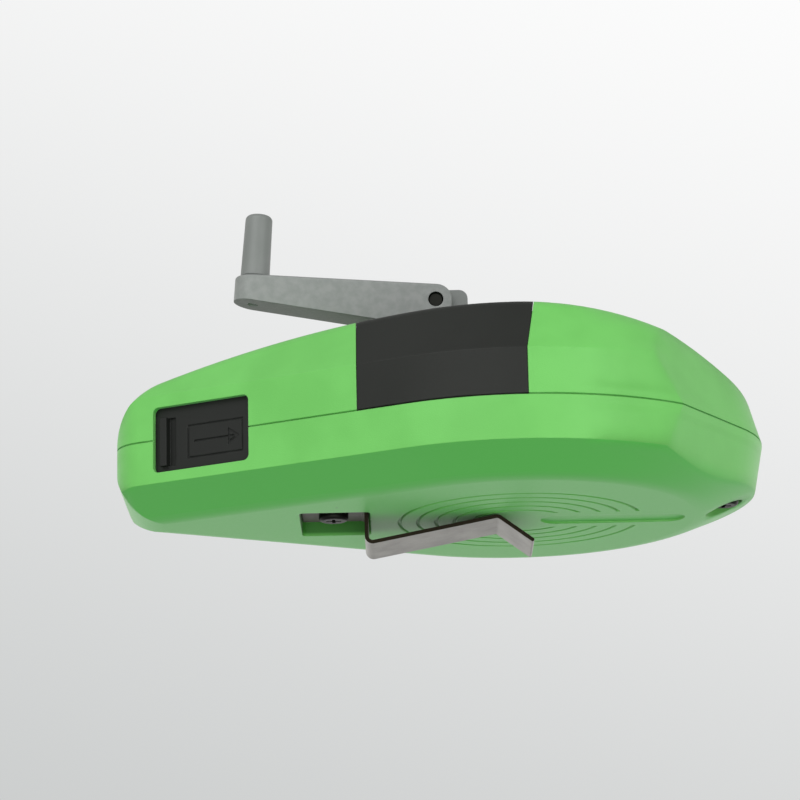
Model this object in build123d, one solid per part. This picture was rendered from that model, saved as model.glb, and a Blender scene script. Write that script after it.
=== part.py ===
from build123d import *

import math
import os

# Hand-cranked marking line reel. A faceted two-part case carries a spool on a fixed axle; a fold-over
# crank on the crowned front turns it through a gear pair. The line leaves through a bush in the nose,
# marking powder goes in at a sliding door in the side, and a spring clip on the back takes a belt.
# Everything is drawn with the spool axis at X = Y = 0 and the parting plane of the case at Z = 0,
# +Z towards the crank and -X towards the nose, then moved as one so that the crank axis is at
# X = 0 and the belt clip's lowest point is at Z = 0.

os.makedirs("parts", exist_ok=True)

# Case, in plan
DRUM_R = 65.0               # round end, about the spool axis
SIDE_ANGLE = 27.0           # straight sides to the long axis
NOSE_X = -106.0             # flat end of the nose
NOSE_CORNER_R = 11.0
REAR_TIP_R = 44.0           # the round end is drawn out to a blunt point at the rear
REAR_HALF_ANGLE = 33.0

# Case, in section
BACK_DEPTH = 17.9           # parting plane to back face
BACK_CREASE = 11.5          # parting plane to the lower edge of the upright band
BACK_RIM_R = DRUM_R - 15.7  # flat of the back face
BACK_RIM_FILLET = 14.0
FRONT_CREASE = 12.0         # parting plane to the upper edge of the upright band
FRONT_FACET_ANGLE = 58.0
CROWN_HEIGHT = 31.2         # parting plane to the top of the front
CROWN_X = -2.0
CROWN_NOSE_R = 18.0
CROWN_REAR_R = 16.0
CROSS_CROWN_R = 343.0
CROWN_RIM_FILLET = 4.0
NOSE_FOOT_R = 12.0
REAR_BACK_DRAFT = 11.0
REAR_FRONT_DRAFT = 16.0
REAR_FOOT_R = 8.0
WALL = 2.5
PART_LINE_WIDTH = 0.4       # shaded groove where the two shells meet
PART_LINE_DEPTH = 0.5
ABOVE = 40.0                # a height clear above the whole front

# Fits
RUNNING = 0.05              # radial, shaft in its bore
FIXED = 0.05                # radial, a piece that stays put in its hole
SLIDE_GAP = 0.15            # flat to flat, one piece moving on another
SEAM = 0.15                 # round the front panel

# Front panel, a saddle across the front under the crank
PANEL_WALL = 2.5
PANEL_BED = 2.2             # front shell's own wall under it
PANEL_NOSE_X = -42.0
PANEL_REAR_X = 0.7
PANEL_REAR_FLARE = 3.4      # extra reach of its rear edge at the crown
PANEL_BOSS_R = 11.0
PANEL_BOSS_Z = 31.4
PANEL_SCREW_X = 14.0        # either side of the crank axis
PANEL_SCREW_Y = 24.0
PANEL_PEG_R = 2.5
PANEL_PEG_Z = 24.5
PANEL_PAD_R = 4.2
PANEL_PAD_Z = 21.9

# Gear pair
MODULE = 0.75
DRIVE_TEETH = 42
SPOOL_TEETH = 14
PRESSURE_ANGLE = 20.0
BACKLASH = 0.12
DRIVE_ADDENDUM = 0.85       # in modules; a full one would foul the small gear's root
GEAR_Z = 15.0
GEAR_WIDTH = 5.0
CENTRES = MODULE * (DRIVE_TEETH + SPOOL_TEETH) / 2
CRANK_X = -CENTRES

# Gear plate and the wall that it closes
PLATE_Z = 10.6
PLATE_T = 2.0
PLATE_INSET = 6.2
PLATE_NOSE_X = -57.5
ROOM_WALL = 1.6
PLATE_SCREW_INSET = 13.3    # in from the round end
PLATE_SCREW_ANGLE = 47.4    # from the long axis
PLATE_PILLAR_R = 3.2

# Spool
AXLE_R = 3.0
AXLE_TOP_Z = 24.6
AXLE_BOSS_R = 6.0
AXLE_BOSS_TOP_Z = 20.8      # lower end of the front boss
AXLE_BOSS_BACK = 3.4        # height of the back boss over the inside of the back
SPOOL_Z = -11.4
SPOOL_TOP_Z = 10.0
FLANGE_R = 44.0
FLANGE_T = 1.6
SPOOL_DRUM_R = 14.0
SPOOL_DRUM_WALL = 2.0
NECK_R = 6.5
NECK_TOP_Z = 13.4
SOCKET_FLATS = 8.0
SOCKET_DEPTH = 2.4
WINDOW_R = 5.0
WINDOW_AT = 29.0
WINDOWS = 6
LINE_PACK_R = 37.0
WASHER_R = 5.2
WASHER_T = 0.5
WASHER_GAP = 0.1            # upper washer to the panel's boss
SEAL_R = 9.5
SEAL_T = 0.8

# Crank
SHAFT_R = 4.0
BUSH_R = 6.0
BUSH_FLANGE_R = 9.0
BUSH_FLANGE_T = 1.0
HUB_BOSS_R = 9.0
HUB_BOSS_Z = 20.3
HUB_DISC_R = 10.0
HUB_DISC_T = 1.8
HUB_HEX = 6.0
HUB_HEX_LENGTH = 2.6
PIN_Z = 42.4
PIN_R = 2.0
PIN_SINK = 0.7
TONGUE_T = 5.0
TONGUE_REACH = 8.6
TONGUE_BACK = 4.4
TONGUE_TOP = 3.2            # over the pin's axis
ARM_TILT = 4.4              # outer end up, in the working position
ARM_LENGTH = 49.3           # pin to knob axis
ARM_WIDTH = 10.6
ARM_TOP = 4.4               # over the pin's axis
ARM_HINGE_R = 4.4
ARM_HEEL = 7.0              # depth below the pin's axis at the hinge
ARM_TIP_DEPTH = 2.3
ARM_FORK = 10.2             # pin's axis to the end of the fork's slot
SPINDLE_R = 1.5
SPINDLE_HEAD_R = 1.9
SPINDLE_LENGTH = 14.5       # above the arm
KNOB_BASE_R = 3.95
KNOB_TOP_R = 3.65
KNOB_LENGTH = 17.6
KNOB_GAP = 0.25

# Screws
CASE_SCREW_R = 1.75
CASE_SCREW_HEAD_R = 3.95
CASE_SCREW_HEAD_T = 2.2
CLIP_SCREW_LENGTH = 22.0
REAR_SCREW_LENGTH = 20.0
SMALL_SCREW_R = 1.15
SMALL_SCREW_HEAD_R = 2.75
SMALL_SCREW_HEAD_T = 1.4
PILLAR_R = 4.5

# Belt clip and its pocket
CLIP_SCREW_X = -49.5
CLIP_POCKET_NOSE_X = -58.3
CLIP_POCKET_REAR_X = -39.7
CLIP_POCKET_HALF = 14.0
CLIP_POCKET_DEPTH = 4.0
CLIP_POCKET_WALL = 1.8
CLIP_T = 1.0
CLIP_WIDTH = 20.0
CLIP_DROP = 7.9             # back face to the clip's lowest point
CLIP_KNEE_X = -6.0
CLIP_LIP_X = 2.8
CLIP_KNEE_GAP = 0.3
CLIP_BEND_R = 1.6

# Rear screw
REAR_SCREW_X = DRUM_R - 10.7
REAR_RECESS_R = 5.0
REAR_RECESS_DEPTH = 5.0

# Rings and the bare name bar in the back face
RINGS = 5
RING_FIRST_R = 12.6
RING_PITCH = 4.85
RING_WIDTH = 1.5
RING_DEPTH = 0.7
BAR_NOSE_X = 5.4
BAR_REAR_X = 43.8
BAR_HALF = 5.0
BAR_DEPTH = 0.6
BAR_MARGIN = 3.6

# Filling door, in the flat of the side at -Y; lengths run along the side from where it leaves the
# round end, negative towards the nose
DOOR_NOSE = -74.3
DOOR_REAR = -45.7
DOOR_HALF = 8.7
DOOR_LAP = 2.7
DOOR_LAP_HIGH = 1.9
DOOR_T = 2.0
DOOR_LIP = 1.5              # wall left in front of the door
DOOR_TRAVEL = 24.0
DOOR_RIB = -72.4
DOOR_RIB_T = 2.0
DOOR_RIB_HALF = 6.4
RAIL_DEPTH = 5.6
RAIL_HALF = 12.4

# Line outlet
OUTLET_Z = 1.4
OUTLET_BORE_R = 1.1
OUTLET_R = 2.2
OUTLET_NOSE = 1.0
OUTLET_FLANGE_R = 4.0
OUTLET_FLANGE_T = 1.5
OUTLET_SINK = 0.3           # the flange's seat is let into the wall by this
WIPER_T = 4.0
WIPER_BORE_R = 0.6
WIPER_RIB = 1.4


def side_unit():
    """Sine and cosine of the angle between a straight side and the long axis."""
    return math.sin(math.radians(SIDE_ANGLE)), math.cos(math.radians(SIDE_ANGLE))


def rod(x, y, low, high, radius):
    """Upright cylinder between two heights."""
    return Pos(x, y, low) * Cylinder(radius, high - low, align=(Align.CENTER, Align.CENTER, Align.MIN))


def block(x0, x1, y0, y1, z0, z1):
    """Box between two corners."""
    return Pos(x0, y0, z0) * Box(x1 - x0, y1 - y0, z1 - z0, align=(Align.MIN,) * 3)


def turned(*points):
    """Solid of revolution about Z from (radius, height) points."""
    return revolve(Plane.XZ * make_face(Polyline(*points, close=True)), Axis.Z)


# ---- the case's outer form, and the same form taken in by t for its inner faces

def plan_face(t):
    """Outline of the case in plan, taken in by t."""
    sine, cosine = side_unit()
    radius = DRUM_R - t
    tx, ty = -radius * sine, radius * cosine
    nose = NOSE_X + t
    corner = ty - (tx - nose) * sine / cosine
    edges = ThreePointArc((tx, -ty), (radius, 0), (tx, ty))
    edges += Line((tx, ty), (nose, corner)) + Line((nose, corner), (nose, -corner))
    edges += Line((nose, -corner), (tx, -ty))
    face = make_face(edges)
    return fillet(face.vertices().group_by(Axis.X)[0], NOSE_CORNER_R - t)


def section_face(t, inner):
    """Half section of the case: upright band, back facet with its soft rim, and front facet."""
    back = math.atan2(BACK_DEPTH - BACK_CREASE, DRUM_R - BACK_RIM_R)
    front = math.radians(FRONT_FACET_ANGLE)
    band = DRUM_R - t
    floor = -BACK_DEPTH + t
    low = -BACK_CREASE + t * (1 - math.sin(back)) / math.cos(back)
    rim = DRUM_R + (math.cos(back) * (BACK_CREASE + floor) - t) / math.sin(back)
    high = FRONT_CREASE - t * (1 - math.sin(front)) / math.cos(front)
    top = DRUM_R - (t + math.cos(front) * (ABOVE - FRONT_CREASE)) / math.sin(front)
    face = make_face(Polyline((inner, floor), (rim, floor), (band, low), (band, high),
                              (top, ABOVE), (inner, ABOVE), close=True))
    soft = [v for v in face.vertices() if abs(v.X - rim) < 0.01 and v.Y < 0]
    return fillet(soft, BACK_RIM_FILLET - t)


def faceted(t):
    """Section turned about the spool axis, run on along both straight sides."""
    sine, cosine = side_unit()
    far = 3 * DRUM_R
    drum = revolve(Plane.XZ * section_face(t, 0), Axis.Z)
    sides = []
    for side in (1, -1):
        out = Vector(-sine, side * cosine, 0)
        across = Plane(origin=(0, 0, 0), x_dir=out, z_dir=out.cross(Vector(0, 0, 1)))
        sides.append(extrude(across * section_face(t, -far), 2 * far, both=True))
    sector = make_face(Polyline((0, 0), (-far * sine, far * cosine), (-2 * far, 0),
                                (-far * sine, -far * cosine), close=True))
    return drum + (sides[0] & sides[1] & extrude(sector, 2 * ABOVE, both=True))


def rear_face(t):
    """Outline of a wide wedge with a rounded tip that draws the rear out, taken in by t."""
    half = math.radians(REAR_HALF_ANGLE)
    radius = REAR_TIP_R - t
    centre = DRUM_R - REAR_TIP_R
    px, py = centre + radius * math.cos(half), radius * math.sin(half)
    run = 3 * DRUM_R
    qx, qy = px - run * math.sin(half), py + run * math.cos(half)
    edges = ThreePointArc((px, -py), (centre + radius, 0), (px, py)) + Line((px, py), (qx, qy))
    edges += Polyline((qx, qy), (2 * NOSE_X, qy), (2 * NOSE_X, -qy), (qx, -qy)) + Line((qx, -qy), (px, -py))
    return make_face(edges)


def rear_form(t):
    """The rear's wedge, drafted both ways from the parting plane and rounded at its foot."""
    face = rear_face(t)
    back = extrude(face, -(BACK_DEPTH - t), taper=REAR_BACK_DRAFT)
    foot = back.faces().sort_by(Axis.Z)[0].edges().filter_by(lambda e: e.center().X > -DRUM_R / 2)
    back = fillet(foot, REAR_FOOT_R - t)
    return back + extrude(face, ABOVE, taper=REAR_FRONT_DRAFT)


def crown_arcs(length, end_r, height):
    """Radius and turn of the arc that runs from the crown's top into an upright end of radius end_r."""
    radius = (length * length - 2 * length * end_r + height * height) / (2 * (height - end_r))
    return radius, math.degrees(math.atan2(length - end_r, radius - height))


def crown_form(t):
    """Side view of the front, swung about a long axis far below so that it is crowned across too."""
    top = CROWN_HEIGHT - t
    nose, rear = NOSE_X + t, DRUM_R - t
    nose_r, rear_r = CROWN_NOSE_R - t, CROWN_REAR_R - t
    long_r, long_turn = crown_arcs(CROWN_X - nose, nose_r, top)
    short_r, short_turn = crown_arcs(rear - CROWN_X, rear_r, top)
    edges = Curve() + [
        CenterArc((nose + nose_r, 0), nose_r, 180, long_turn - 90),
        CenterArc((CROWN_X, top - long_r), long_r, 90 + long_turn, -long_turn),
        CenterArc((CROWN_X, top - short_r), short_r, 90, -short_turn),
        CenterArc((rear - rear_r, 0), rear_r, 90 - short_turn, short_turn - 90),
        Polyline((rear, 0), (rear, -DRUM_R), (nose, -DRUM_R), (nose, 0)),
    ]
    swing_axis = Axis((0, 0, CROWN_HEIGHT - CROSS_CROWN_R), (1, 0, 0))
    swing = 40
    swept = revolve(Plane.XZ * make_face(edges), swing_axis, revolution_arc=swing)
    return swept.rotate(swing_axis, -swing / 2)


def foot_form(t):
    """Side view of the nose's lower corner, run across."""
    nose, floor = NOSE_X + t, -BACK_DEPTH + t
    face = make_face(Polyline((nose, ABOVE), (nose, floor), (2 * DRUM_R, floor), (2 * DRUM_R, ABOVE), close=True))
    corner = [v for v in face.vertices() if abs(v.X - nose) < 0.01 and v.Y < 0]
    return extrude(Plane.XZ * fillet(corner, NOSE_FOOT_R - t), 2 * DRUM_R, both=True)


def case_form(t):
    """The whole case as a solid, taken in by t all round."""
    prism = Pos(0, 0, -ABOVE) * extrude(plan_face(t), 2 * ABOVE)
    return prism & faceted(t) & rear_form(t) & crown_form(t) & foot_form(t)


def soften_crown(form):
    """Round the edge between the crowned front and its facets."""
    crowned = [f for f in form.faces()
               if f.geom_type in (GeomType.TORUS, GeomType.REVOLUTION) and f.center().Z > BACK_DEPTH / 2]
    seen = {}
    for face in crowned:
        for edge in face.edges():
            seen.setdefault(hash(edge), []).append(edge)
    rim = [found[0] for found in seen.values()
           if len(found) == 1 and found[0].center().Z > FRONT_CREASE + 2 and found[0].center().X < DRUM_R / 2]
    return fillet(rim, CROWN_RIM_FILLET)


OUTER = soften_crown(case_form(0))
INNER = case_form(WALL)
SKIN = OUTER - INNER
FRONT_HALF = block(2 * NOSE_X, 2 * DRUM_R, -2 * DRUM_R, 2 * DRUM_R, 0, 2 * ABOVE)
BACK_HALF = block(2 * NOSE_X, 2 * DRUM_R, -2 * DRUM_R, 2 * DRUM_R, -2 * ABOVE, 0)
PART_LINE = (OUTER - case_form(PART_LINE_DEPTH)) & block(
    2 * NOSE_X, 2 * DRUM_R, -2 * DRUM_R, 2 * DRUM_R, -PART_LINE_WIDTH / 2, PART_LINE_WIDTH / 2)
INSIDE_BACK_Z = -BACK_DEPTH + WALL
PLATE_TOP_Z = PLATE_Z + PLATE_T


# ---- filling door, drawn on the flat of the side

def side_plane():
    """Plane on the side at -Y: x along it towards the rear, y up, z outwards."""
    sine, cosine = side_unit()
    return Plane(origin=(-DRUM_R * sine, -DRUM_R * cosine, 0), x_dir=(cosine, -sine, 0), z_dir=(-sine, -cosine, 0))


def side_block(s0, s1, z0, z1, n0, n1):
    """Box on the side plane: along it, up, and outwards."""
    return side_plane() * block(s0, s1, z0, z1, n0, n1)


DOOR_FACE = -DOOR_LIP - SLIDE_GAP
DOOR_BACK = DOOR_FACE - DOOR_T
DOOR_HIGH = DOOR_HALF + DOOR_LAP_HIGH


def door_opening():
    """Hole in the side for filling, with rounded corners."""
    middle = (DOOR_NOSE + DOOR_REAR) / 2
    shape = Pos(middle, 0) * RectangleRounded(DOOR_REAR - DOOR_NOSE, 2 * DOOR_HALF, 1.6)
    return side_plane() * (Pos(0, 0, -2 * RAIL_DEPTH) * extrude(shape, 3 * RAIL_DEPTH))


def door_slot():
    """Room that the door slides in, behind the wall."""
    return side_block(DOOR_NOSE - DOOR_LAP - 0.5, DOOR_REAR + DOOR_LAP + DOOR_TRAVEL + 0.5,
                      -DOOR_HIGH - SLIDE_GAP, DOOR_HIGH + SLIDE_GAP, DOOR_BACK - SLIDE_GAP, -DOOR_LIP)


def door_rails():
    """Bars above and below the opening, behind the wall, that the slot is cut into."""
    first, last = DOOR_NOSE - DOOR_LAP - 2.0, DOOR_REAR + DOOR_LAP + DOOR_TRAVEL + 2.0
    upper = side_block(first, last, DOOR_HALF, RAIL_HALF, -RAIL_DEPTH, -DOOR_LIP / 2)
    lower = side_block(first, last, -RAIL_HALF, -DOOR_HALF, -RAIL_DEPTH, -DOOR_LIP / 2)
    return upper, lower


def arrow_cut():
    """Shallow frame and arrow that show which way the door opens."""
    depth = 0.35
    line = 0.5
    frame_nose, frame_rear = DOOR_RIB + 7.6, DOOR_REAR - 2.4
    frame = Pos((frame_nose + frame_rear) / 2, -1.2) * (
        Rectangle(frame_rear - frame_nose, 9.0) - Rectangle(frame_rear - frame_nose - 2 * line, 9.0 - 2 * line))
    tip = frame_rear - 1.2
    shaft = Pos(tip - 7.2, -1.2) * Rectangle(12.6, line)
    head = make_face(Polyline((tip, -1.2), (tip - 3.4, 1.1), (tip - 3.4, -3.5), close=True))
    inner_head = make_face(Polyline((tip - 1.2, -1.2), (tip - 2.9, -0.1), (tip - 2.9, -2.3), close=True))
    return side_plane() * (Pos(0, 0, DOOR_FACE - depth) * extrude(frame + shaft + (head - inner_head), 2 * depth))


def fill_door():
    plate = side_block(DOOR_NOSE - DOOR_LAP, DOOR_REAR + DOOR_LAP, -DOOR_HIGH, DOOR_HIGH, DOOR_BACK, DOOR_FACE)
    plate = chamfer(plate.edges().filter_by(Axis.Z), 0.4)
    rib = side_block(DOOR_RIB, DOOR_RIB + DOOR_RIB_T, -DOOR_RIB_HALF - 0.6, DOOR_RIB_HALF - 0.6, DOOR_BACK, -0.3)
    groove = side_block(DOOR_RIB + DOOR_RIB_T, DOOR_RIB + 2 * DOOR_RIB_T, -DOOR_RIB_HALF - 0.6,
                        DOOR_RIB_HALF - 0.6, DOOR_FACE - 0.6, 0)
    return plate + rib - groove - arrow_cut()


# ---- case

def outlet_hole():
    """Hole through the nose for the line's bush, with a flat seat inside for its flange."""
    along = (Align.CENTER, Align.CENTER, Align.MIN)
    hole = Pos(NOSE_X - 1, 0, OUTLET_Z) * Rot(0, 90, 0) * Cylinder(OUTLET_R + FIXED, WALL + 2, align=along)
    seat = Pos(NOSE_X + WALL - OUTLET_SINK, 0, OUTLET_Z) * Rot(0, 90, 0) * Cylinder(
        OUTLET_FLANGE_R + FIXED, OUTLET_FLANGE_T + WIPER_T + OUTLET_SINK, align=along)
    return hole + seat


def wiper_ribs():
    """Two ribs across the nose, each with a notch for the line, that trap the wiper."""
    x = NOSE_X + WALL + OUTLET_FLANGE_T + WIPER_T + 0.3
    reach = OUTLET_FLANGE_R + 3
    rib = block(x, x + WIPER_RIB, -reach, reach, OUTLET_Z - reach, OUTLET_Z + reach)
    notch = Pos(x - 1, 0, OUTLET_Z) * Rot(0, 90, 0) * Cylinder(
        OUTLET_BORE_R + 0.4, WIPER_RIB + 2, align=(Align.CENTER, Align.CENTER, Align.MIN))
    posts = block(x - 0.1, x + WIPER_RIB, -reach, reach, -ABOVE, ABOVE)
    posts -= block(x - 1, x + WIPER_RIB + 1, -OUTLET_FLANGE_R + 1, OUTLET_FLANGE_R - 1, -ABOVE, ABOVE)
    return ((rib + posts) & case_form(WALL / 2)) - notch


def clip_pocket():
    """Recess in the back for the clip's foot, and the block that walls it inside."""
    nose, rear, half, wall = CLIP_POCKET_NOSE_X, CLIP_POCKET_REAR_X, CLIP_POCKET_HALF, CLIP_POCKET_WALL
    top = -BACK_DEPTH + CLIP_POCKET_DEPTH
    hollow = block(nose, rear, -half, half, -BACK_DEPTH - 5, top)
    hollow = fillet(hollow.edges().filter_by(Axis.Z), 1.5)
    walls = block(nose - wall, rear + wall, -half - wall, half + wall, -BACK_DEPTH + WALL / 2, top + wall)
    return fillet(walls.edges().filter_by(Axis.Z), 2.5), hollow


def ring_grooves():
    """Concentric grooves in the back face, broken by the bare bar."""
    grooves = []
    for k in range(RINGS):
        r = RING_FIRST_R + k * RING_PITCH
        half = RING_WIDTH / 2
        low = -BACK_DEPTH - 1
        high = -BACK_DEPTH + RING_DEPTH
        grooves.append(turned((r - half, low), (r + half, low), (r + half / 2, high), (r - half / 2, high)))
    gap = block(0, 2 * DRUM_R, -BAR_HALF - BAR_MARGIN, BAR_HALF + BAR_MARGIN, -2 * BACK_DEPTH, 0)
    return Compound(grooves) - gap


def name_bar():
    """Shallow bar with round ends, left bare."""
    shape = Pos((BAR_NOSE_X + BAR_REAR_X) / 2, 0) * SlotOverall(BAR_REAR_X - BAR_NOSE_X, 2 * BAR_HALF)
    return Pos(0, 0, -BACK_DEPTH - 1) * extrude(shape, 1 + BAR_DEPTH)


REAR_FLOOR_Z = -BACK_DEPTH + REAR_RECESS_DEPTH
PILLAR_FOOT_Z = -BACK_DEPTH + CLIP_POCKET_DEPTH + CLIP_POCKET_WALL
REAR_FOOT_Z = REAR_FLOOR_Z + CLIP_POCKET_WALL
BACK_BOSS_TOP_Z = INSIDE_BACK_Z + AXLE_BOSS_BACK


def back_shell():
    shell = SKIN & BACK_HALF
    pocket_walls, pocket = clip_pocket()
    rear_boss = rod(REAR_SCREW_X, 0, -BACK_DEPTH + 1, REAR_FOOT_Z, REAR_RECESS_R + CLIP_POCKET_WALL) & OUTER
    shell += [pocket_walls, rear_boss, rod(0, 0, INSIDE_BACK_Z - 1, BACK_BOSS_TOP_Z, AXLE_BOSS_R)]
    shell += door_rails()[1] & case_form(WALL / 2)
    shell += wiper_ribs() & BACK_HALF
    shell -= pocket
    shell -= rod(CLIP_SCREW_X, 0, -BACK_DEPTH, PILLAR_FOOT_Z + 1, CASE_SCREW_R + 0.25)
    shell -= rod(REAR_SCREW_X, 0, -2 * BACK_DEPTH, REAR_FLOOR_Z, REAR_RECESS_R)
    shell -= rod(REAR_SCREW_X, 0, -BACK_DEPTH, REAR_FOOT_Z + 1, CASE_SCREW_R + 0.25)
    shell -= rod(0, 0, INSIDE_BACK_Z, BACK_BOSS_TOP_Z + 1, AXLE_R + FIXED)
    shell -= [door_slot(), door_opening(), outlet_hole(), PART_LINE]
    return shell - ring_grooves() - name_bar()


def panel_band(grow):
    """Band across the case that the front panel fills, wider by grow each way."""
    nose, rear = PANEL_NOSE_X - grow, PANEL_REAR_X + grow
    shape = make_face(Polyline((nose, -1), (rear, -1), (rear, FRONT_CREASE),
                               (rear + PANEL_REAR_FLARE, CROWN_HEIGHT + 2), (nose, CROWN_HEIGHT + 2), close=True))
    return extrude(Plane.XZ * shape, 2 * DRUM_R, both=True)


def panel_screw_places():
    return [(CRANK_X + i * PANEL_SCREW_X, j * PANEL_SCREW_Y) for i in (-1, 1) for j in (-1, 1)]


def plate_screw_places():
    radius, angle = DRUM_R - PLATE_SCREW_INSET, math.radians(PLATE_SCREW_ANGLE)
    return [(i * radius * math.cos(angle), j * radius * math.sin(angle)) for i in (-1, 1) for j in (-1, 1)]


def gear_room():
    """Wall inside the front that the gear plate closes, ending in a cross wall towards the nose."""
    nose = PLATE_NOSE_X + 1.0
    inset = PLATE_INSET + 0.8
    outer, inner = [extrude(plan_face(t) & rear_face(t), ABOVE) for t in (inset, inset + ROOM_WALL)]
    ahead = block(nose, 2 * DRUM_R, -DRUM_R, DRUM_R, 0, ABOVE)
    cross = block(nose, nose + ROOM_WALL, -DRUM_R, DRUM_R, 0, ABOVE)
    wall = ((outer - inner) & ahead) + (outer & cross)
    return (Pos(0, 0, PLATE_TOP_Z) * wall) & case_form(WALL / 2)


def front_shell():
    shell = (SKIN - panel_band(SEAM)) & FRONT_HALF
    bed = (case_form(PANEL_WALL) - case_form(PANEL_WALL + PANEL_BED)) & panel_band(2 * WALL) & FRONT_HALF
    solid = case_form(PANEL_WALL)
    posts = [rod(CLIP_SCREW_X, 0, PILLAR_FOOT_Z, ABOVE, PILLAR_R), rod(REAR_SCREW_X, 0, REAR_FOOT_Z, ABOVE, PILLAR_R),
             rod(CRANK_X, 0, HUB_BOSS_Z, ABOVE, HUB_BOSS_R), rod(0, 0, AXLE_BOSS_TOP_Z, ABOVE, AXLE_BOSS_R),
             gear_room()]
    posts += [rod(x, y, PANEL_PAD_Z, ABOVE, PANEL_PAD_R) for x, y in panel_screw_places()]
    posts += [rod(x, y, PLATE_TOP_Z, ABOVE, PLATE_PILLAR_R) for x, y in plate_screw_places()]
    shell += [bed] + [post & solid for post in posts]
    shell += door_rails()[0] & case_form(WALL / 2)
    shell += wiper_ribs() & FRONT_HALF
    shell -= [door_slot(), door_opening(), outlet_hole(), PART_LINE]
    shell -= rod(CLIP_SCREW_X, 0, PILLAR_FOOT_Z - 1, 9, CASE_SCREW_R + FIXED)
    shell -= rod(REAR_SCREW_X, 0, REAR_FOOT_Z - 1, 9, CASE_SCREW_R + FIXED)
    shell -= rod(CRANK_X, 0, HUB_BOSS_Z - 1, 2 * ABOVE, BUSH_R + FIXED)
    shell -= rod(0, 0, AXLE_BOSS_TOP_Z - 1, AXLE_TOP_Z, AXLE_R + FIXED)
    for x, y in panel_screw_places():
        shell -= rod(x, y, PANEL_PEG_Z, ABOVE, PANEL_PEG_R + FIXED)
        shell -= rod(x, y, PANEL_PAD_Z - 1, ABOVE, SMALL_SCREW_R + 0.3)
    for x, y in plate_screw_places():
        shell -= rod(x, y, PLATE_TOP_Z - 1, PLATE_TOP_Z + 8, SMALL_SCREW_R + FIXED)
    return shell


def front_panel():
    full = panel_band(0) & FRONT_HALF
    panel = (OUTER - case_form(PANEL_WALL)) & full
    boss = rod(CRANK_X, 0, CROWN_HEIGHT / 2, PANEL_BOSS_Z, PANEL_BOSS_R) - case_form(PANEL_WALL)
    panel += boss
    inside = case_form(PANEL_WALL / 2)
    for x, y in panel_screw_places():
        panel += rod(x, y, PANEL_PEG_Z, ABOVE, PANEL_PEG_R) & inside
        panel -= rod(x, y, PANEL_PEG_Z - 1, PANEL_PEG_Z + 3, SMALL_SCREW_R + FIXED)
    return panel - rod(CRANK_X, 0, 0, 2 * ABOVE, BUSH_R + FIXED) - PART_LINE


def gear_plate():
    plate = Pos(0, 0, PLATE_Z) * extrude(plan_face(PLATE_INSET) & rear_face(PLATE_INSET), PLATE_T)
    plate = plate & block(PLATE_NOSE_X, 2 * DRUM_R, -DRUM_R, DRUM_R, 0, ABOVE) & case_form(WALL + 0.4)
    plate -= rod(0, 0, PLATE_Z - 1, PLATE_TOP_Z + 1, NECK_R + 0.5)
    plate -= rod(CLIP_SCREW_X, 0, PLATE_Z - 1, PLATE_TOP_Z + 1, PILLAR_R + 0.3)
    for x, y in plate_screw_places():
        plate -= rod(x, y, PLATE_Z - 1, PLATE_TOP_Z + 1, SMALL_SCREW_R + 0.3)
    return plate - rod(REAR_SCREW_X, 0, PLATE_Z - 1, PLATE_TOP_Z + 1, PILLAR_R + 0.3)


def pan_screw(x, y, seat, length, radius, head_r, head_t):
    """Screw driven upwards: pan head below its seat, with a cross recess."""
    head = rod(x, y, seat - head_t, seat, head_r)
    head = fillet(head.edges().sort_by(Axis.Z)[0], head_t * 0.45)
    arm = head_r * 0.5
    slot = Pos(x, y, seat - head_t - 1) * (Box(2 * arm, arm * 0.45, 2 + head_t) + Box(arm * 0.45, 2 * arm, 2 + head_t))
    shank = rod(x, y, seat, seat + length, radius)
    shank = chamfer(shank.edges().sort_by(Axis.Z)[-1], radius * 0.4)
    return head - slot + shank


def clip_screw():
    seat = -BACK_DEPTH + CLIP_POCKET_DEPTH - CLIP_T
    return pan_screw(CLIP_SCREW_X, 0, seat, CLIP_SCREW_LENGTH, CASE_SCREW_R, CASE_SCREW_HEAD_R, CASE_SCREW_HEAD_T)


def rear_screw():
    return pan_screw(REAR_SCREW_X, 0, REAR_FLOOR_Z, REAR_SCREW_LENGTH, CASE_SCREW_R, CASE_SCREW_HEAD_R, CASE_SCREW_HEAD_T)


def small_screws(places, seat, length):
    return Compound([pan_screw(x, y, seat, length, SMALL_SCREW_R, SMALL_SCREW_HEAD_R, SMALL_SCREW_HEAD_T)
                     for x, y in places])


def belt_clip():
    """Spring strip: foot in the pocket, riser, long tongue that nears the back at its knee, flared lip."""
    foot = -BACK_DEPTH + CLIP_POCKET_DEPTH - CLIP_T / 2
    low = -BACK_DEPTH - CLIP_DROP + CLIP_T / 2
    knee = -BACK_DEPTH - CLIP_KNEE_GAP - CLIP_T / 2
    riser = CLIP_POCKET_REAR_X - 0.5 - CLIP_T / 2
    path = FilletPolyline((CLIP_POCKET_NOSE_X + 0.6, foot), (riser, foot), (riser, low), (CLIP_KNEE_X, knee),
                          (CLIP_LIP_X, low + 0.05), radius=CLIP_BEND_R)
    strip = extrude(Plane.XZ * make_face(offset(path, CLIP_T / 2, side=Side.BOTH)), CLIP_WIDTH / 2, both=True)
    return strip - rod(CLIP_SCREW_X, 0, -2 * BACK_DEPTH, 0, CASE_SCREW_R + 0.3)


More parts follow.
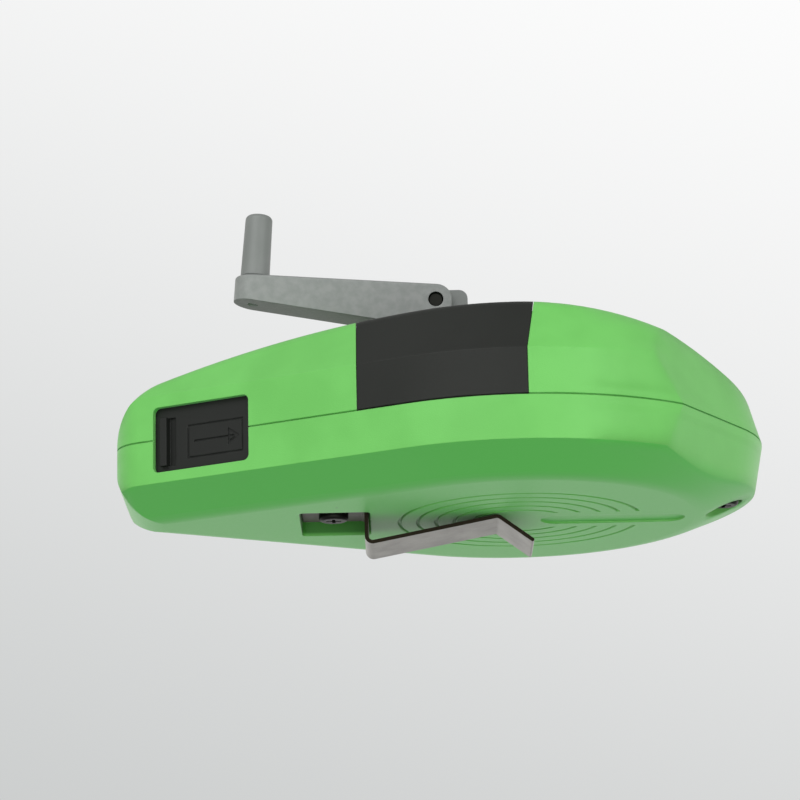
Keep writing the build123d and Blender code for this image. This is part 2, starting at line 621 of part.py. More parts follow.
def outlet_bush():
    """Flanged bush with a rounded snout, bored for the line."""
    seat = WALL - OUTLET_SINK
    back = seat + OUTLET_FLANGE_T
    bush = turned((OUTLET_BORE_R, -OUTLET_NOSE), (OUTLET_R, -OUTLET_NOSE), (OUTLET_R, seat),
                  (OUTLET_FLANGE_R, seat), (OUTLET_FLANGE_R, back), (OUTLET_BORE_R, back))
    bush = fillet(bush.edges().group_by(Axis.Z)[0], 0.5)
    return Pos(NOSE_X, 0, OUTLET_Z) * Rot(0, 90, 0) * bush


def line_wiper():
    x = NOSE_X + WALL - OUTLET_SINK + OUTLET_FLANGE_T
    pad = Cylinder(OUTLET_FLANGE_R, WIPER_T) - Cylinder(WIPER_BORE_R, WIPER_T)
    return Pos(x + WIPER_T / 2, 0, OUTLET_Z) * Rot(0, 90, 0) * pad


# ---- spool

def involute_turn(radius, base):
    """Angle that the involute has unwound from its base circle at a radius."""
    pressure = math.acos(min(1.0, base / radius))
    return math.tan(pressure) - pressure


def gear_face(teeth, addendum, start):
    """Spur gear outline with its first tooth at angle start; each flank is an arc through the involute."""
    pitch_r = MODULE * teeth / 2
    tip_r = pitch_r + addendum * MODULE
    root_r = pitch_r - 1.25 * MODULE
    base_r = pitch_r * math.cos(math.radians(PRESSURE_ANGLE))
    foot_r = max(base_r, root_r)
    half = math.pi / (2 * teeth) - BACKLASH / (4 * pitch_r) + involute_turn(pitch_r, base_r)

    def at(radius, side, middle):
        turn = middle + side * (half - involute_turn(radius, base_r))
        return radius * math.cos(turn), radius * math.sin(turn)

    def root(side, middle):
        turn = middle + side * (half - involute_turn(foot_r, base_r))
        return root_r * math.cos(turn), root_r * math.sin(turn)

    edges = []
    for k in range(teeth):
        middle = start + 2 * math.pi * k / teeth
        following = middle + 2 * math.pi / teeth
        mean = (foot_r + tip_r) / 2
        if foot_r > root_r + 0.01:
            edges.append(Line(root(-1, middle), at(foot_r, -1, middle)))
            edges.append(Line(at(foot_r, 1, middle), root(1, middle)))
        edges.append(ThreePointArc(at(foot_r, -1, middle), at(mean, -1, middle), at(tip_r, -1, middle)))
        edges.append(Line(at(tip_r, -1, middle), at(tip_r, 1, middle)))
        edges.append(ThreePointArc(at(tip_r, 1, middle), at(mean, 1, middle), at(foot_r, 1, middle)))
        edges.append(Line(root(1, middle), root(-1, following)))
    return make_face(Curve() + edges)


def hexagon(flats, low, high):
    """Upright hexagonal bar between two heights."""
    return Pos(0, 0, low) * extrude(RegularPolygon(flats / 2, 6, major_radius=False), high - low)


def spool():
    """Two windowed flanges on a hollow drum, with a neck that rises through the gear plate."""
    bore = AXLE_R + RUNNING
    inside = SPOOL_DRUM_R - SPOOL_DRUM_WALL
    low, high = SPOOL_Z, SPOOL_TOP_Z
    body = turned((bore, low), (FLANGE_R, low), (FLANGE_R, low + FLANGE_T), (SPOOL_DRUM_R, low + FLANGE_T),
                  (SPOOL_DRUM_R, high - FLANGE_T), (FLANGE_R, high - FLANGE_T), (FLANGE_R, high), (inside, high),
                  (inside, low + FLANGE_T), (NECK_R, low + FLANGE_T), (NECK_R, NECK_TOP_Z), (bore, NECK_TOP_Z))
    for k in range(WINDOWS):
        turn = 2 * math.pi * k / WINDOWS
        body -= rod(WINDOW_AT * math.cos(turn), WINDOW_AT * math.sin(turn), low - 1, high + 1, WINDOW_R)
    return body - hexagon(SOCKET_FLATS, NECK_TOP_Z - SOCKET_DEPTH, NECK_TOP_Z + 1)


def spool_gear():
    teeth = extrude(gear_face(SPOOL_TEETH, 1.0, math.pi / SPOOL_TEETH), GEAR_WIDTH)
    gear = Pos(0, 0, GEAR_Z) * teeth
    gear += rod(0, 0, NECK_TOP_Z, GEAR_Z - 0.4, NECK_R - 0.3)
    gear += rod(0, 0, NECK_TOP_Z, GEAR_Z + 1, MODULE * SPOOL_TEETH / 2 - 1.25 * MODULE)
    gear += hexagon(SOCKET_FLATS - 2 * FIXED, NECK_TOP_Z - SOCKET_DEPTH + 0.1, GEAR_Z)
    return gear - rod(0, 0, -ABOVE, ABOVE, AXLE_R + RUNNING)


def line_pack():
    """The wound line, as the ring that it fills between the flanges."""
    gap = 0.1
    low, high = SPOOL_Z + FLANGE_T + gap, SPOOL_TOP_Z - FLANGE_T - gap
    ring = turned((SPOOL_DRUM_R + gap, low), (LINE_PACK_R, low), (LINE_PACK_R + 0.8, (low + high) / 2),
                  (LINE_PACK_R, high), (SPOOL_DRUM_R + gap, high))
    return ring


def axle_washers():
    lower = rod(0, 0, BACK_BOSS_TOP_Z, BACK_BOSS_TOP_Z + WASHER_T, WASHER_R)
    upper = rod(0, 0, AXLE_BOSS_TOP_Z - WASHER_T - WASHER_GAP, AXLE_BOSS_TOP_Z - WASHER_GAP, WASHER_R)
    bore = rod(0, 0, -ABOVE, ABOVE, AXLE_R + FIXED)
    return Compound([lower - bore, upper - bore])


# ---- crank

HUB_Z = PANEL_BOSS_Z + BUSH_FLANGE_T + 0.1


def hub_bush():
    bush = turned((SHAFT_R + RUNNING, HUB_BOSS_Z), (BUSH_R, HUB_BOSS_Z), (BUSH_R, PANEL_BOSS_Z),
                  (BUSH_FLANGE_R, PANEL_BOSS_Z), (BUSH_FLANGE_R, PANEL_BOSS_Z + BUSH_FLANGE_T),
                  (SHAFT_R + RUNNING, PANEL_BOSS_Z + BUSH_FLANGE_T))
    return Pos(CRANK_X, 0, 0) * bush


def crank_hub():
    """Shaft with a driving hexagon below, a disc over the bush, and the tongue that the arm pivots on."""
    gear_top = GEAR_Z + GEAR_WIDTH
    disc_top = HUB_Z + HUB_DISC_T
    hub = rod(0, 0, gear_top, HUB_Z + 0.5, SHAFT_R)
    disc = rod(0, 0, HUB_Z, disc_top, HUB_DISC_R)
    hub += chamfer(disc.edges().sort_by(Axis.Z)[-1], 0.5)
    hub += hexagon(HUB_HEX, gear_top - HUB_HEX_LENGTH, gear_top + 0.5)
    tongue = block(-TONGUE_BACK, TONGUE_REACH, -TONGUE_T / 2, TONGUE_T / 2, disc_top - 0.5, PIN_Z + TONGUE_TOP)
    tongue = fillet(tongue.edges().filter_by(Axis.Y).sort_by(Axis.Z)[-2:], 2.4)
    hub += tongue
    hub -= Pos(0, 0, PIN_Z) * Rot(90, 0, 0) * Cylinder(PIN_R + RUNNING, 2 * TONGUE_T)
    hub -= rod(0, 0, GEAR_Z, gear_top + 6, SMALL_SCREW_R + FIXED)
    return Pos(CRANK_X, 0, 0) * hub


def drive_gear():
    gear = Pos(0, 0, GEAR_Z) * extrude(gear_face(DRIVE_TEETH, DRIVE_ADDENDUM, 0), GEAR_WIDTH)
    ring = Cylinder(12.6, 1.3) - Cylinder(7.0, 1.3)
    gear -= Pos(0, 0, GEAR_Z + 0.65) * ring
    gear -= Pos(0, 0, GEAR_Z + GEAR_WIDTH - 0.65) * ring
    gear -= hexagon(HUB_HEX + 2 * FIXED, GEAR_Z - 1, GEAR_Z + GEAR_WIDTH + 1)
    gear -= rod(0, 0, GEAR_Z - 1, GEAR_Z + GEAR_WIDTH - HUB_HEX_LENGTH, 5.0)
    return Pos(CRANK_X, 0, 0) * gear


GEAR_SCREW_SEAT = GEAR_Z + GEAR_WIDTH - HUB_HEX_LENGTH - 0.6


def gear_washer():
    ring = rod(CRANK_X, 0, GEAR_SCREW_SEAT, GEAR_SCREW_SEAT + 0.6, 4.6)
    return ring - rod(CRANK_X, 0, GEAR_Z, GEAR_Z + GEAR_WIDTH, SMALL_SCREW_R + 0.2)


def arm_frame():
    """Frame of the arm at rest: x from the pin towards the knob, z up along the knob's axis."""
    tilt = math.radians(ARM_TILT)
    return Plane(origin=(CRANK_X, 0, PIN_Z), x_dir=(-math.cos(tilt), 0, math.sin(tilt)),
                 z_dir=(math.sin(tilt), 0, math.cos(tilt)))


def crank_arm():
    """Tapered bar, round at the knob in plan, forked over the hub's tongue."""
    end = ARM_LENGTH + ARM_WIDTH / 2
    heel_r = 3.4
    edges = Line((0, ARM_TOP), (end, ARM_TOP)) + Line((end, ARM_TOP), (end, -ARM_TIP_DEPTH))
    edges += Line((end, -ARM_TIP_DEPTH), (ARM_FORK, -ARM_HEEL))
    edges += Line((ARM_FORK, -ARM_HEEL), (heel_r - ARM_HINGE_R, -ARM_HEEL))
    edges += ThreePointArc((heel_r - ARM_HINGE_R, -ARM_HEEL),
                           (-ARM_HINGE_R + heel_r * (1 - math.sqrt(0.5)), -ARM_HEEL + heel_r * (1 - math.sqrt(0.5))),
                           (-ARM_HINGE_R, heel_r - ARM_HEEL))
    edges += Line((-ARM_HINGE_R, heel_r - ARM_HEEL), (-ARM_HINGE_R, ARM_TOP - ARM_HINGE_R))
    edges += ThreePointArc((-ARM_HINGE_R, ARM_TOP - ARM_HINGE_R),
                           (-ARM_HINGE_R * math.sqrt(0.5), ARM_TOP - ARM_HINGE_R * (1 - math.sqrt(0.5))), (0, ARM_TOP))
    bar = extrude(Plane.XZ * make_face(edges), ARM_WIDTH / 2, both=True)
    ahead = block(-ARM_WIDTH, ARM_LENGTH, -ARM_WIDTH, ARM_WIDTH, -ABOVE, ABOVE)
    bar = bar & (ahead + rod(ARM_LENGTH, 0, -ABOVE, ABOVE, ARM_WIDTH / 2))
    top = bar.faces().sort_by(Axis.Z)[-1]
    bar = fillet(top.edges().filter_by(lambda e: e.center().X > 1), 0.7)
    bar -= block(-ARM_WIDTH, ARM_FORK, -TONGUE_T / 2 - SLIDE_GAP, TONGUE_T / 2 + SLIDE_GAP, -ABOVE, ABOVE)
    bar -= Rot(90, 0, 0) * Cylinder(PIN_R + FIXED, 2 * ARM_WIDTH)
    bar -= rod(ARM_LENGTH, 0, -ABOVE, ABOVE, SPINDLE_R + FIXED)
    return arm_frame().location * bar


def hinge_pin():
    length = ARM_WIDTH - 2 * PIN_SINK
    pin = Pos(CRANK_X, 0, PIN_Z) * Rot(90, 0, 0) * Cylinder(PIN_R, length)
    return chamfer(pin.edges().filter_by(GeomType.CIRCLE), 0.3)


def knob_spindle():
    low = -ARM_TIP_DEPTH
    high = ARM_TOP + SPINDLE_LENGTH
    pin = turned((0, low), (SPINDLE_R, low), (SPINDLE_R, high - 1.2), (SPINDLE_HEAD_R, high - 1.2),
                 (SPINDLE_HEAD_R, high - 0.6), (SPINDLE_R, high), (0, high))
    return arm_frame().location * (Pos(ARM_LENGTH, 0, 0) * pin)


def crank_knob():
    """Slightly tapered grip with a rounded end, bored to snap over the spindle's head."""
    low = ARM_TOP + KNOB_GAP
    high = low + KNOB_LENGTH
    head = ARM_TOP + SPINDLE_LENGTH
    body = turned((0, low), (KNOB_BASE_R - 0.3, low), (KNOB_BASE_R, low + 0.3), (KNOB_TOP_R, high), (0, high))
    body = fillet(body.edges().sort_by(Axis.Z)[-1], 1.4)
    bore = turned((0, low - 1), (SPINDLE_R + RUNNING, low - 1), (SPINDLE_R + RUNNING, head - 1.35),
                  (SPINDLE_HEAD_R + 0.1, head - 1.35), (SPINDLE_HEAD_R + 0.1, head + 0.2), (0, head + 0.2))
    return arm_frame().location * (Pos(ARM_LENGTH, 0, 0) * (body - bore))


PIECES = {
    "back_shell": back_shell(),
    "front_shell": front_shell(),
    "front_panel": front_panel(),
    "gear_plate": gear_plate(),
    "plate_screws": small_screws(plate_screw_places(), PLATE_Z, 8),
    "panel_screws": small_screws(panel_screw_places(), PANEL_PAD_Z, 5),
    "rear_screw": rear_screw(),
    "clip_screw": clip_screw(),
    "belt_clip": belt_clip(),
    "outlet_bush": outlet_bush(),
    "line_wiper": line_wiper(),
    "spool_axle": chamfer(rod(0, 0, INSIDE_BACK_Z, AXLE_TOP_Z, AXLE_R).edges().filter_by(GeomType.CIRCLE), 0.4),
    "axle_washers": axle_washers(),
    "neck_seal": rod(0, 0, PLATE_TOP_Z, PLATE_TOP_Z + SEAL_T, SEAL_R)
    - rod(0, 0, PLATE_Z, PLATE_TOP_Z + 2, NECK_R + 2 * RUNNING),
    "hub_bush": hub_bush(),
    "crank_hub": crank_hub(),
    "drive_gear": drive_gear(),
    "gear_washer": gear_washer(),
    "gear_screw": pan_screw(CRANK_X, 0, GEAR_SCREW_SEAT, 8, SMALL_SCREW_R, SMALL_SCREW_HEAD_R, SMALL_SCREW_HEAD_T),
    "crank_arm": crank_arm(),
    "hinge_pin": hinge_pin(),
    "knob_spindle": knob_spindle(),
    "crank_knob": crank_knob(),
    "spool": spool(),
    "spool_gear": spool_gear(),
    "line_pack": line_pack(),
    "fill_door": fill_door(),
}

TO_ROW = Pos(-CRANK_X, 0, BACK_DEPTH + CLIP_DROP)
for name, piece in PIECES.items():
    export_step(TO_ROW * piece, f"parts/{name}.step")
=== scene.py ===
import math

import bpy
from mathutils import Matrix, Vector

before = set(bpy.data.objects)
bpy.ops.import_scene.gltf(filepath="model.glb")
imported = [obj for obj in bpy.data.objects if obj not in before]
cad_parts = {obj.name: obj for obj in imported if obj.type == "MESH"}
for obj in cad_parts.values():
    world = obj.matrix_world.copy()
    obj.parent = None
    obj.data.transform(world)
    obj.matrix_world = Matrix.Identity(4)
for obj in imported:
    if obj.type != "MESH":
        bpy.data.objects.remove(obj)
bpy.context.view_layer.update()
MM = 0.001

# ---- camera
# It stands low beside the filling door and tilts up at the case, so the clip and the back are seen too.

CAMERA_PLACE = (-0.0102, -0.8655, -0.1844)
CAMERA_TILT = 104.64
CAMERA_ROLL = -1.21
LENS = 150.0


def add_camera():
    """A long lens on a 36 mm frame, tilted about X and then rolled about its own line of sight."""
    lens = bpy.data.cameras.new("camera")
    lens.lens = LENS
    lens.sensor_width = 36.0
    lens.clip_start = 0.05
    camera = bpy.data.objects.new("camera", lens)
    tilt = Matrix.Rotation(math.radians(CAMERA_TILT), 4, "X")
    roll = Matrix.Rotation(math.radians(CAMERA_ROLL), 4, "Z")
    camera.matrix_world = Matrix.Translation(CAMERA_PLACE) @ tilt @ roll
    bpy.context.collection.objects.link(camera)
    bpy.context.scene.camera = camera


add_camera()

# ---- light
# A studio sweep. The pale background glows at the height of the horizon, more so behind the reel, and
# falls off above and below. Two soft boxes stand high at the camera's side, and one stands low.

BACKDROP_DIM = (0.575, 0.590, 0.588)
BACKDROP_LIT = (1.0, 1.0, 1.0)
GLOW_BELOW = 0.42
GLOW_LEVEL = 0.75
GLOW_BEHIND = 0.55
GLOW_ABOVE = 0.50


class Value:
    """One output of a tree of nodes. Arithmetic on it adds the Math node that works it out."""

    def __init__(self, nodes, socket):
        self.nodes = nodes
        self.socket = socket

    def maths(self, operation, *values):
        return self.nodes.node("ShaderNodeMath", {"operation": operation}, *values)

    def __add__(self, other):
        return self.maths("ADD", self, other)

    def __radd__(self, other):
        return self.maths("ADD", other, self)

    def __sub__(self, other):
        return self.maths("SUBTRACT", self, other)

    def __rsub__(self, other):
        return self.maths("SUBTRACT", other, self)

    def __mul__(self, other):
        return self.maths("MULTIPLY", self, other)

    def __rmul__(self, other):
        return self.maths("MULTIPLY", other, self)

    def __abs__(self):
        return self.maths("ABSOLUTE", self)

    def over(self, low, high):
        """0 below one value and 1 above another, with a smooth rise between them."""
        settings = {"interpolation_type": "SMOOTHSTEP"}
        return self.nodes.node("ShaderNodeMapRange", settings, self, low, high, 0.0, 1.0)


MIX_SOCKETS = {"RGBA": (6, 7, 2), "VECTOR": (4, 5, 1)}


class Nodes:
    """A tree of nodes, emptied."""

    def __init__(self, tree):
        self.tree = tree
        self.tree.nodes.clear()

    def node(self, kind, settings=None, *values, out=0, **named):
        """Adds a node: its settings first, then values or links for its sockets, in order or by name."""
        made = self.tree.nodes.new(kind)
        for key, value in (settings or {}).items():
            setattr(made, key, value)
        for key, value in [*enumerate(values), *named.items()]:
            self.join(made.inputs[key.replace("_", " ") if isinstance(key, str) else key], value)
        return Value(self, made.outputs[out]) if made.outputs else None

    def join(self, socket, value):
        if isinstance(value, Value):
            self.tree.links.new(value.socket, socket)
        else:
            socket.default_value = value

    def blend(self, amount, first, second, kind="RGBA"):
        """One colour or vector passing to another as the amount goes from 0 to 1."""
        made = self.tree.nodes.new("ShaderNodeMix")
        made.data_type = kind
        one, other, out = MIX_SOCKETS[kind]
        for key, value in ((0, amount), (one, first), (other, second)):
            self.join(made.inputs[key], value)
        return Value(self, made.outputs[out])

    def parts(self, vector):
        """The three numbers of a vector."""
        split = self.node("ShaderNodeSeparateXYZ", None, vector)
        return [Value(self, out) for out in split.socket.node.outputs]


def add_sweep():
    """The backdrop that is seen, and the glow that lights the reel, both by direction."""
    world = bpy.data.worlds.new("sweep")
    world.use_nodes = True
    sky = Nodes(world.node_tree)
    x, y, z = sky.parts(sky.node("ShaderNodeTexCoord", out="Generated"))
    seen = sky.node("ShaderNodeBackground", None, sky.blend(
        (x * 0.34 + z).over(0.02, 0.47), (*BACKDROP_DIM, 1.0), (*BACKDROP_LIT, 1.0)))
    level = y.over(-0.4, 0.6) * GLOW_BEHIND + GLOW_LEVEL
    low = z.over(-0.62, -0.10)
    high = z.over(0.10, 0.50)
    glow = (level * low + (1.0 - low) * GLOW_BELOW) * (1.0 - high) + high * GLOW_ABOVE
    glow = sky.node("ShaderNodeBackground", None, (1.0, 1.0, 0.985, 1.0), glow)
    both = sky.node("ShaderNodeMixShader", None, sky.node("ShaderNodeLightPath"), glow, seen)
    sky.node("ShaderNodeOutputWorld", None, both)
    bpy.context.scene.world = world
    bpy.context.scene.view_settings.view_transform = "Standard"


def add_lamp(name, place, target, width, height, power):
    """A soft rectangle of light at one place, facing another."""
    lamp = bpy.data.lights.new(name, "AREA")
    lamp.shape = "RECTANGLE"
    lamp.size = width
    lamp.size_y = height
    lamp.energy = power
    holder = bpy.data.objects.new(name, lamp)
    way = Vector(place) - Vector(target)
    holder.matrix_world = Matrix.Translation(place) @ way.to_track_quat("Z", "Y").to_matrix().to_4x4()
    holder.visible_camera = False
    bpy.context.collection.objects.link(holder)


add_sweep()
add_lamp("box_left", (-0.45, -0.85, 0.75), (0.0, 0.0, 0.04), 0.9, 0.7, 6.2)
add_lamp("box_right", (0.65, -0.80, 0.45), (0.0, 0.0, 0.04), 0.7, 0.7, 2.6)
add_lamp("table_glow", (0.05, -1.0, -0.38), (0.0, 0.0, 0.01), 0.9, 0.5, 4.0)


class Finish(Nodes):
    """The surface of a kind of piece: one Principled shader, with fixed values on its own sockets."""

    def __init__(self, name, **fixed):
        self.material = bpy.data.materials.new(name)
        self.material.use_nodes = True
        super().__init__(self.material.node_tree)
        self.shader = self.tree.nodes.new("ShaderNodeBsdfPrincipled")
        self.output = self.tree.nodes.new("ShaderNodeOutputMaterial")
        self.show(Value(self, self.shader.outputs[0]))
        self.wear(**fixed)
        self.place = self.node("ShaderNodeTexCoord", out="Object")

    def show(self, surface):
        self.join(self.output.inputs["Surface"], surface)

    def wear(self, **sockets):
        """Sets or links the shader's own sockets."""
        for key, value in sockets.items():
            self.join(self.shader.inputs[key.replace("_", " ")], value)

    def noise(self, size, detail=2.0, roughness=0.5, place=None):
        """Random variation from 0 to 1 with patches about as wide as the size in millimetres."""
        return self.node("ShaderNodeTexNoise", None, Vector=place or self.place,
                         Scale=1.0 / (size * MM), Detail=detail, Roughness=roughness)

    def specks(self, apart, share, size):
        """1 in a few small round specks: the cells are so far apart, and so large a share holds one."""
        cells = {"Vector": self.place, "Scale": 1.0 / (apart * MM), "Randomness": 1.0}
        near = self.node("ShaderNodeTexVoronoi", None, **cells)
        chance = self.parts(self.node("ShaderNodeTexVoronoi", None, out="Color", **cells))[0]
        reach = size / apart
        return (1.0 - near.over(0.6 * reach, reach)) * chance.over(1.0 - share, 1.0 - 0.9 * share)

    def raised(self, height, depth, under=None):
        """A normal for a surface whose height in 0 to 1 stands for a depth in millimetres."""
        named = {"Height": height, "Distance": depth * MM, "Strength": 1.0}
        if under:
            named["Normal"] = under
        return self.node("ShaderNodeBump", None, **named)

    def stretched(self, x, y, z):
        """Object coordinates scaled along each axis, so a pattern is drawn out where the scale is small."""
        return self.node("ShaderNodeMapping", None, Vector=self.place, Scale=(x, y, z))

    def facing(self):
        """The three parts of the surface's own direction."""
        return self.parts(self.node("ShaderNodeNewGeometry", out="Normal"))

    def worn_edges(self, width):
        """A softened normal, and how far it turns from the face's own, which is at edges only."""
        soft = self.node("ShaderNodeBevel", {"samples": 6}, width * MM)
        flat = self.node("ShaderNodeNewGeometry", out="Normal")
        turn = self.node("ShaderNodeVectorMath", {"operation": "DOT_PRODUCT"}, soft, flat, out="Value")
        return soft, (1.0 - turn).over(0.01, 0.2)


def colour(red, green, blue):
    return (red, green, blue, 1.0)


def dress(finish, *nodes):
    """Gives CAD nodes a finish."""
    for name in nodes:
        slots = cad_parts[name].data.materials
        slots.clear()
        slots.append(finish.material)


# ---- case shells
# Two halves of bright green plastic, screwed together at the parting line. Their moulds are
# spark-eroded, so the surface is an even fine grain that looks matte and a little mottled.

BACK_Z = 7.9 * MM
PARTING_Z = 25.8 * MM
ROUND_END_X = (34.0 * MM, 42.0 * MM)
NOSE_X = (79.0 * MM, 83.0 * MM)
POCKET_X = -28.0 * MM
POCKET_HALF_LENGTH = 9.5 * MM
POCKET_HALF_WIDTH = 14.5 * MM
POCKET_TOP = 5.5 * MM
FADE = 1.0 * MM
GREEN = (0.132, 0.492, 0.092)
GREEN_DEEP = (0.112, 0.440, 0.075)
GREEN_RUBBED = (0.24, 0.60, 0.19)
# Painted shade: the deeper green taken by faces that turn down.
GREEN_PAINTED_SHADE_BELOW = (0.080, 0.490, 0.066)
# Painted shade on the walls of the clip's pocket.
POCKET_PAINTED_SHADE = (0.035, 0.20, 0.020)
DIRT = (0.03, 0.06, 0.03)
SHELL_GRAIN = 0.32
EDGE_R = 0.35


def wide_corners(finish, soft, radius):
    """The softened normal, passing to that of a wide rounding at the corners of both ends of the case.
    The parting line and the back face keep the first one."""
    wide = finish.node("ShaderNodeBevel", {"samples": 8}, radius * MM)
    x, y, z = finish.parts(finish.place)
    ends = x.over(*ROUND_END_X) + (0.0 - x).over(*NOSE_X)
    where = ends * abs(z - PARTING_Z).over(1.2 * MM, 3.5 * MM) * (z - BACK_Z).over(0.0, FADE)
    return finish.blend(where, soft, wide, "VECTOR")


def inside_pocket(finish):
    """1 on the walls of the clip's pocket in the back face, where painted shade goes, and 0 elsewhere."""
    x, y, z = finish.parts(finish.place)
    length = 1.0 - abs(x - POCKET_X).over(POCKET_HALF_LENGTH, POCKET_HALF_LENGTH + FADE)
    width = 1.0 - abs(y).over(POCKET_HALF_WIDTH, POCKET_HALF_WIDTH + FADE)
    up = z - BACK_Z
    return length * width * up.over(0.3 * MM, 1.2 * MM) * (1.0 - up.over(POCKET_TOP, POCKET_TOP + FADE))


def moulded(name, base, deep, rubbed, grain, depth, rough, dust=0.0, under=None, round_r=0.0,
            flow_size=22.0, pocket=None, **fixed):
    """Moulded plastic: fine grain, faint flow mottling and paler edges. It may have specks of dirt, painted
    shade on faces that turn down and on the walls of the pocket, and wide corners. Sizes and depths are in
    millimetres."""
    finish = Finish(name, **fixed)
    fine = finish.noise(grain, 2.0, 0.6)
    flow = finish.noise(flow_size, 3.0, 0.55)
    soft, turned = finish.worn_edges(EDGE_R)
    if round_r:
        soft = wide_corners(finish, soft, round_r)
    worn = turned * finish.noise(5.0, 3.0).over(0.35, 0.75)
    body = finish.blend(flow.over(0.3, 0.7), colour(*base), colour(*deep))
    # Painted shade: faces that turn down take another colour, deeper or darker, in place of the shade they
    # would get.
    if under:
        low = (0.0 - finish.facing()[2]).over(0.05, 0.85)
        body = finish.blend(low, body, colour(*under))
    body = finish.blend(worn * 0.5, body, colour(*rubbed))
    # Painted shade: the walls of the pocket take a dark green.
    if pocket:
        body = finish.blend(inside_pocket(finish), body, colour(*pocket))
    if dust:
        body = finish.blend(finish.specks(9.0, dust, 0.42) * 0.85, body, colour(*DIRT))
    finish.wear(Base_Color=body, Roughness=fine * 0.16 + (rough - 0.08) - worn * 0.12,
                Normal=finish.raised(fine, depth, soft))
    return finish


# Faces that turn down, and the walls of the clip's pocket, take painted shade.
shell_finish = moulded("green_shell", GREEN, GREEN_DEEP, GREEN_RUBBED, SHELL_GRAIN, 0.035, 0.46,
                       dust=0.05, under=GREEN_PAINTED_SHADE_BELOW, round_r=7.0, pocket=POCKET_PAINTED_SHADE, Sheen_Weight=0.09)
dress(shell_finish, "back_shell", "front_shell")

# ---- front panel and filling door
# Black plastic with a finer grain than the shells', and less reflective. The door is a little darker.

panel_finish = moulded("black_panel", (0.0095, 0.0112, 0.009), (0.0075, 0.009, 0.007),
                       (0.06, 0.065, 0.06), 0.30, 0.02, 0.50, IOR=1.36)
dress(panel_finish, "front_panel")
door_finish = moulded("black_door", (0.008, 0.0095, 0.008), (0.006, 0.0075, 0.006), (0.05, 0.055, 0.05),
                      0.22, 0.015, 0.52, IOR=1.36)
dress(door_finish, "fill_door")

# ---- crank
# Arm, hub and knob are grey. The arm is cast and painted, the hub and the knob are moulded.

# The arm's faces that turn down take a much darker colour: painted shade.
arm_finish = moulded("grey_arm", (0.235, 0.248, 0.240), (0.195, 0.210, 0.202), (0.38, 0.395, 0.39),
                     0.7, 0.05, 0.42, under=(0.018, 0.032, 0.020), flow_size=2.5)
dress(arm_finish, "crank_arm")
knob_finish = moulded("grey_knob", (0.190, 0.203, 0.195), (0.155, 0.168, 0.160), (0.30, 0.315, 0.31),
                      0.35, 0.03, 0.46)
dress(knob_finish, "crank_knob", "crank_hub")

# ---- belt clip and metal parts
# The clip is spring steel strip, cut, bent and tumbled. Its cut edges are dark. The end that is screwed down
# in the pocket takes the same dark colour and loses its shine: painted shade. Screws are dull zinc, made very
# dark as painted shade for the shaded pocket, and the axle, spindle and washer are ground steel.


def metal(name, base, rough, along, scratch=0.2, cut_edge_and_pocket_shade=None):
    """Metal with a grain drawn out along the way it was rolled or turned. Faces across Y may take the colour
    of a cut edge. What lies above the back face, the end in the pocket, takes that colour too and loses its
    metal shine: painted shade."""
    finish = Finish(name, Metallic=1.0)
    lines = finish.noise(1.0, 3.0, 0.6, finish.stretched(*along))
    cloud = finish.noise(6.0, 3.0, 0.5)
    dark = tuple(0.72 * c for c in base)
    body = finish.blend(cloud.over(0.3, 0.75) * 0.6 + lines * 0.3, colour(*base), colour(*dark))
    if cut_edge_and_pocket_shade:
        # Painted shade: what lies above the back face, the clip's end in the pocket, takes the dark colour
        # and loses its metal shine.
        painted_pocket_shade = finish.parts(finish.place)[2].over(BACK_Z + 0.5 * MM, BACK_Z + 1.5 * MM)
        body = finish.blend(abs(finish.facing()[1]).over(0.6, 0.8), body, colour(*cut_edge_and_pocket_shade))
        body = finish.blend(painted_pocket_shade * 0.85, body, colour(*cut_edge_and_pocket_shade))
        finish.wear(Metallic=1.0 - painted_pocket_shade * 0.95)
    finish.wear(Base_Color=body, Roughness=lines * scratch + rough + cloud * 0.08,
                Normal=finish.raised(lines, 0.012))
    return finish


clip_finish = metal("spring_steel", (0.335, 0.325, 0.305), 0.34, (0.12, 4.0, 4.0),
                    cut_edge_and_pocket_shade=(0.030, 0.022, 0.016))
dress(clip_finish, "belt_clip")
# Painted shade: the screws' zinc is made very dark for the clip's screw, which sits in the shaded pocket;
# every screw shares it.
screw_finish = metal("zinc_painted_shade", (0.022, 0.023, 0.020), 0.34, (1.5, 1.5, 1.5))
dress(screw_finish, "clip_screw", "rear_screw", "plate_screws", "panel_screws", "gear_screw", "hinge_pin")
pin_finish = metal("ground_steel", (0.55, 0.55, 0.56), 0.18, (3.0, 3.0, 0.3), 0.1)
dress(pin_finish, "spool_axle", "knob_spindle", "gear_washer")

# ---- bush, gears and spool
# Off-white nylon for what turns or is rubbed, and natural plastic for the spool and the plate.

nylon = moulded("off_white_nylon", (0.80, 0.79, 0.70), (0.74, 0.73, 0.62), (0.86, 0.85, 0.78),
                0.5, 0.02, 0.38)
dress(nylon, "outlet_bush", "hub_bush", "axle_washers", "drive_gear", "spool_gear")
natural = moulded("natural_plastic", (0.70, 0.70, 0.66), (0.64, 0.64, 0.60), (0.78, 0.78, 0.75),
                  0.5, 0.02, 0.42)
dress(natural, "spool", "gear_plate")

# ---- felt and line
# Pressed felt rings wipe the line and keep powder out of the gears. The line is wound in close turns.

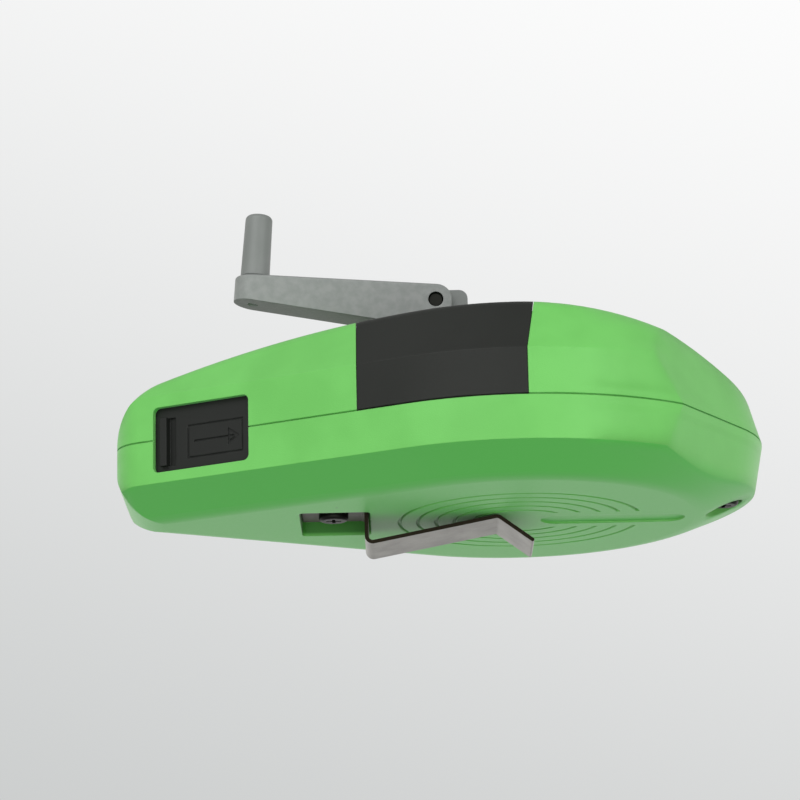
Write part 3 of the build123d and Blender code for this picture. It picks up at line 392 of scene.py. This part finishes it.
LINE_PITCH = 1.1 * MM
FELT_DARK = (0.20, 0.20, 0.21)
FELT_PALE = (0.42, 0.42, 0.43)
# Painted shade for the grooves between turns of line.
LINE_GROOVE_SHADE = (0.30, 0.28, 0.23)
LINE_PALE = (0.78, 0.76, 0.70)


def pressed_felt():
    """Grey felt, mottled and matted."""
    finish = Finish("pressed_felt", Roughness=0.95, Sheen_Weight=0.4)
    finish.wear(Base_Color=finish.blend(finish.noise(0.6, 4.0), colour(*FELT_DARK), colour(*FELT_PALE)),
                Normal=finish.raised(finish.noise(0.4, 4.0, 0.7), 0.2))
    return finish


def cotton_line():
    """Strands side by side: the size of a sine of height, which also climbs with the angle round Z."""
    finish = Finish("cotton_line", Roughness=0.9, Sheen_Weight=0.3)
    x, y, z = finish.parts(finish.place)
    climb = y.maths("ARCTAN2", y, x)
    turns = z * (math.pi / LINE_PITCH) + climb
    strands = abs(turns.maths("SINE", turns))
    fibres = finish.noise(0.5, 3.0, 0.6)
    # The colour darkens into the grooves between turns: painted shade. The fibre mottle is the line's own
    # tone.
    finish.wear(Base_Color=finish.blend(strands * 0.7 + fibres * 0.3, colour(*LINE_GROOVE_SHADE), colour(*LINE_PALE)),
                Normal=finish.raised(strands + fibres * 0.3, 0.5))
    return finish


dress(pressed_felt(), "line_wiper", "neck_seal")
dress(cotton_line(), "line_pack")

# ---- table
# A pale table under the clip. It is seen from above only.

TABLE_SIZE = 8.0


def add_table():
    """One flat square. It shows to the camera only, and is clear from below."""
    half = TABLE_SIZE / 2
    mesh = bpy.data.meshes.new("table")
    corners = [(-half, -half, 0), (half, -half, 0), (half, half, 0), (-half, half, 0)]
    mesh.from_pydata(corners, [], [(0, 1, 2, 3)])
    table = bpy.data.objects.new("table", mesh)
    bpy.context.collection.objects.link(table)
    for ray in ("diffuse", "glossy", "transmission", "volume_scatter", "shadow"):
        setattr(table, "visible_" + ray, False)
    top = Finish("table_top", Base_Color=colour(0.8, 0.81, 0.805), Roughness=0.7)
    from_below = top.node("ShaderNodeNewGeometry", out="Backfacing")
    clear = top.node("ShaderNodeBsdfTransparent")
    top.show(top.node("ShaderNodeMixShader", None, from_below, Value(top, top.shader.outputs[0]), clear))
    mesh.materials.append(top.material)


add_table()
